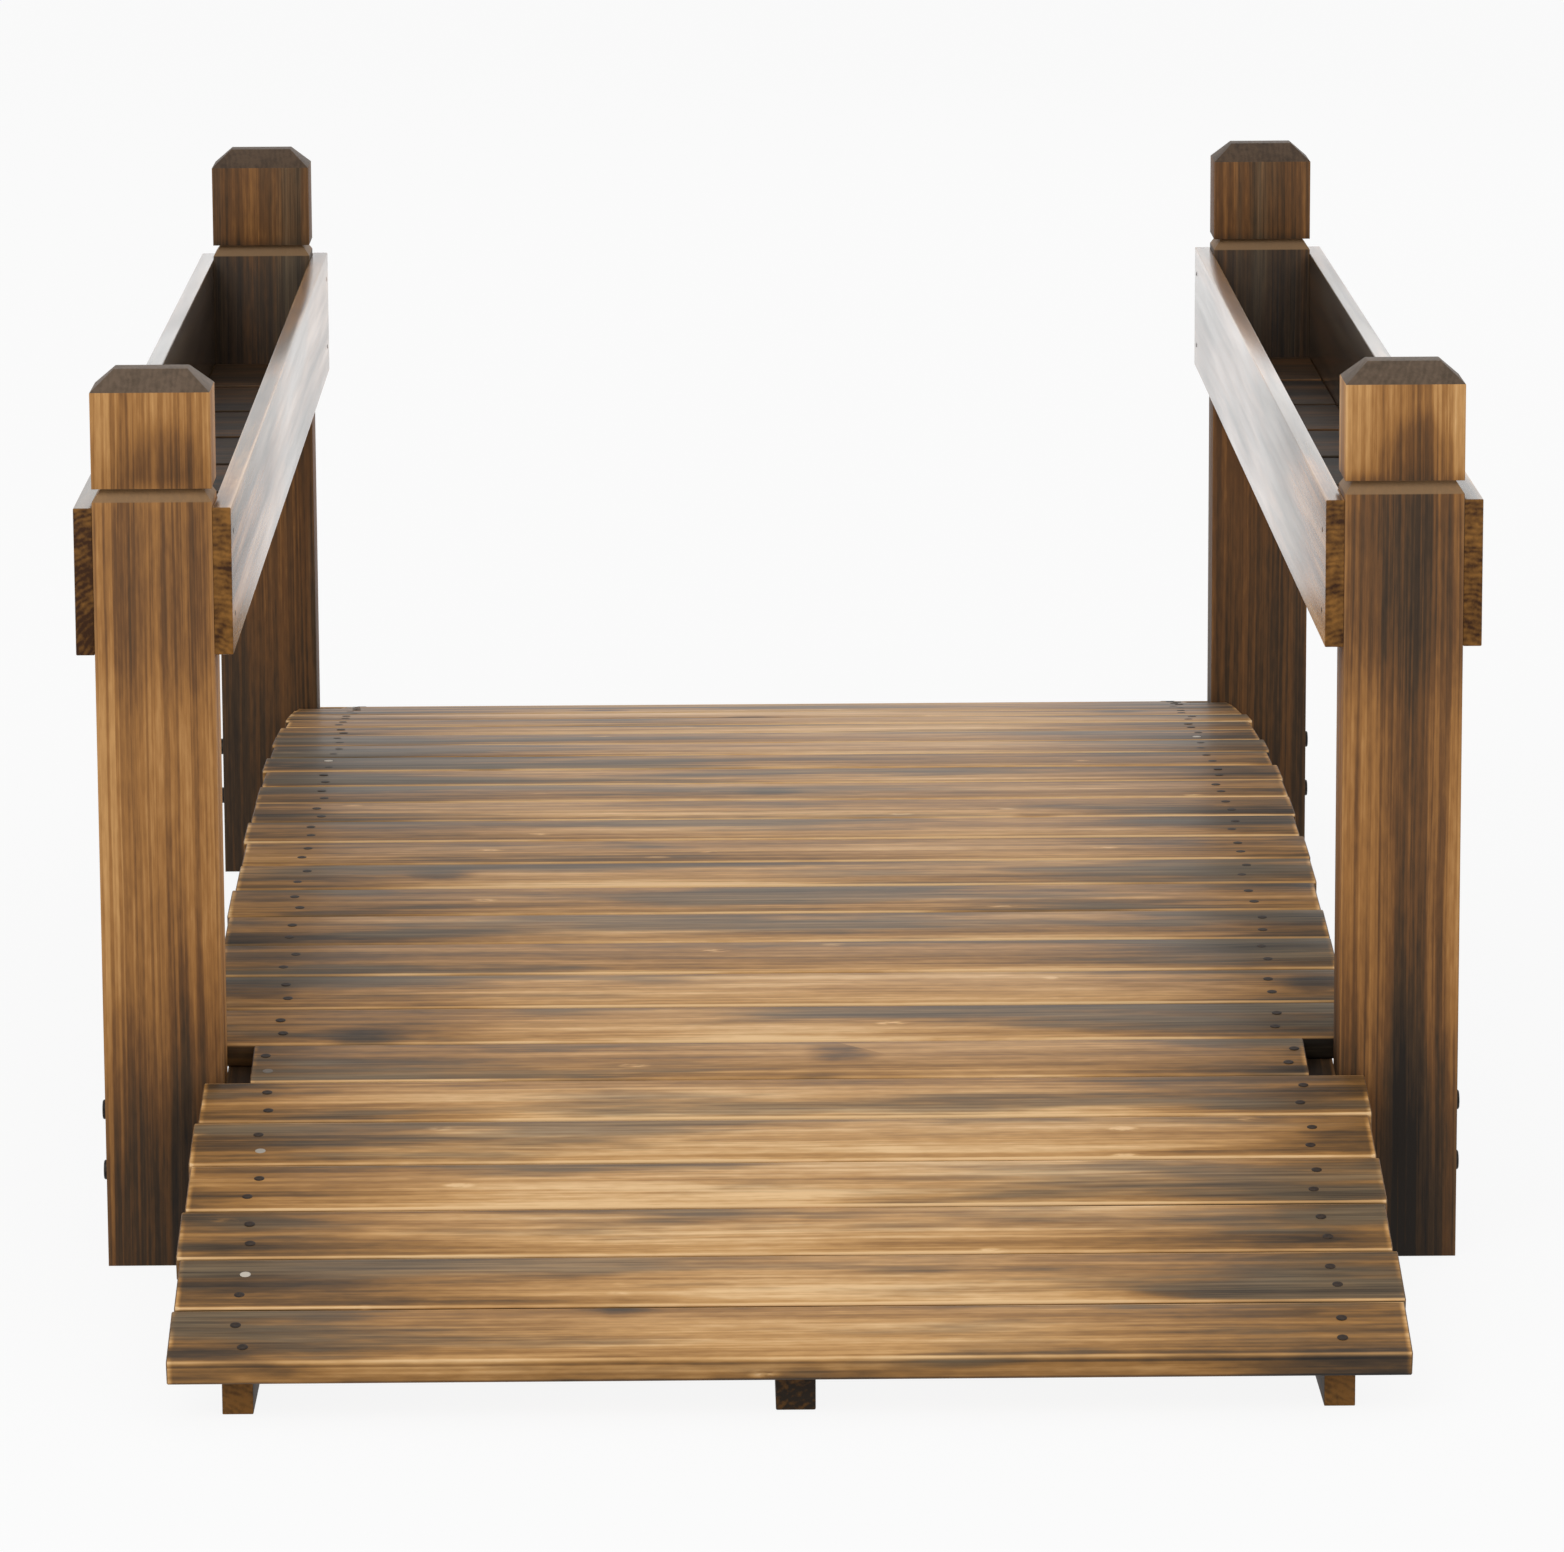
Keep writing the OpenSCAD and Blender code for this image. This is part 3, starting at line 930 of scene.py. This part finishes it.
for side, sign in (("left", -1), ("right", 1)):
    for place, facing in (("inner", -sign), ("outer", sign)):
        low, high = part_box(side + "_planter_" + place + "_board")
        middle = (low + high) / 2
        middle.x = high.x if facing > 0 else low.x
        nails = follow_rule(side + "_" + place + "_board_nails", board_nail_rule, {
            "Nail": brad, "Middle": middle, "Spread": rear_post_y - front_post_y,
            "Spacing": brad_spacing, "Turn": facing * math.pi / 2, "Seed": brad_seeds[facing]})
        settle(nails, "bolt_steel")
bpy.data.objects.remove(brad)


# Floor, light and camera
# A white studio floor with soft light from above and in front, and the viewpoint of the picture:
# from the front end of the walkway, a little above the posts, with a long lens.

def seen_rays(maker):
    """One for rays from the camera or from a reflection, nought for the light's own bounces."""
    rays = maker.node("ShaderNodeLightPath").socket.node.outputs
    camera, glossy, through = [
        Wire(maker.tree, rays["Is %s Ray" % kind]) for kind in ("Camera", "Glossy", "Transmission")]
    return maker.maths("MAXIMUM", maker.maths("MAXIMUM", camera, glossy), through)


floor_half = 14
floor_clear = 0.0003
whiteness = 0.9
floor_mesh = bpy.data.meshes.new("studio_floor")
work = bmesh.new()
bmesh.ops.create_grid(work, x_segments=1, y_segments=1, size=floor_half,
                      matrix=Matrix.Translation((0, 0, -floor_clear)))
work.to_mesh(floor_mesh)
work.free()
studio_floor = bpy.data.objects.new("studio_floor", floor_mesh)
scene.collection.objects.link(studio_floor)
floor_white = bpy.data.materials.new("floor_white")
floor_white.use_nodes = True
floor_white.node_tree.nodes.clear()
maker = Wire(floor_white.node_tree)
lit = maker.node("ShaderNodeBsdfDiffuse", None, {"Color": (0.8, 0.8, 0.8, 1)})
white = maker.node("ShaderNodeEmission", None, {"Color": (1, 1, 1, 1), "Strength": 1.0})
surface = maker.node("ShaderNodeMixShader", None,
                     {0: seen_rays(maker) * whiteness, 1: lit, 2: white})
surface.feed(floor_white.node_tree.nodes.new("ShaderNodeOutputMaterial"), "Surface")
floor_mesh.materials.append(floor_white)

room_light = 0.62
world = bpy.data.worlds.new("studio")
scene.world = world
world.use_nodes = True
background = world.node_tree.nodes["Background"]
background.inputs["Color"].default_value = (1, 1, 1, 1)
strength = room_light + seen_rays(Wire(world.node_tree)) * (1 - room_light)
strength.feed(background, "Strength")

lamp_size = 2.6
lamp_aim = Vector((0, 0, 0.15))
for name, place, power in (
        ("key", (-1.6, -3.2, 3.2), 44),
        ("fill", (2.2, -3.4, 2.0), 14),
        ("back", (1.2, 3.8, 2.2), 9)):
    lamp = bpy.data.lights.new(name, "AREA")
    lamp.size = lamp_size
    lamp.energy = power
    stand = bpy.data.objects.new(name, lamp)
    stand.location = place
    stand.rotation_euler = (lamp_aim - Vector(place)).to_track_quat("-Z", "Y").to_euler()
    scene.collection.objects.link(stand)

view_place = (-0.0355, -4.0479, 0.9401)
view_yaw = 0.0102
view_pitch = 0.1941
view_roll = 0.0050
sensor_w = 36.0
focal_px = 7600
frame_px = 1564
camera = bpy.data.cameras.new("camera")
camera.sensor_width = sensor_w
camera.lens = focal_px / frame_px * sensor_w
camera.clip_end = 60
viewer = bpy.data.objects.new("camera", camera)
turn = Matrix.Rotation(-view_yaw, 4, "Z") @ Matrix.Rotation(math.pi / 2 - view_pitch, 4, "X")
turn = turn @ Matrix.Rotation(-view_roll, 4, "Z")
viewer.matrix_world = Matrix.Translation(view_place) @ turn
scene.collection.objects.link(viewer)
scene.camera = viewer
scene.view_settings.view_transform = "Standard"
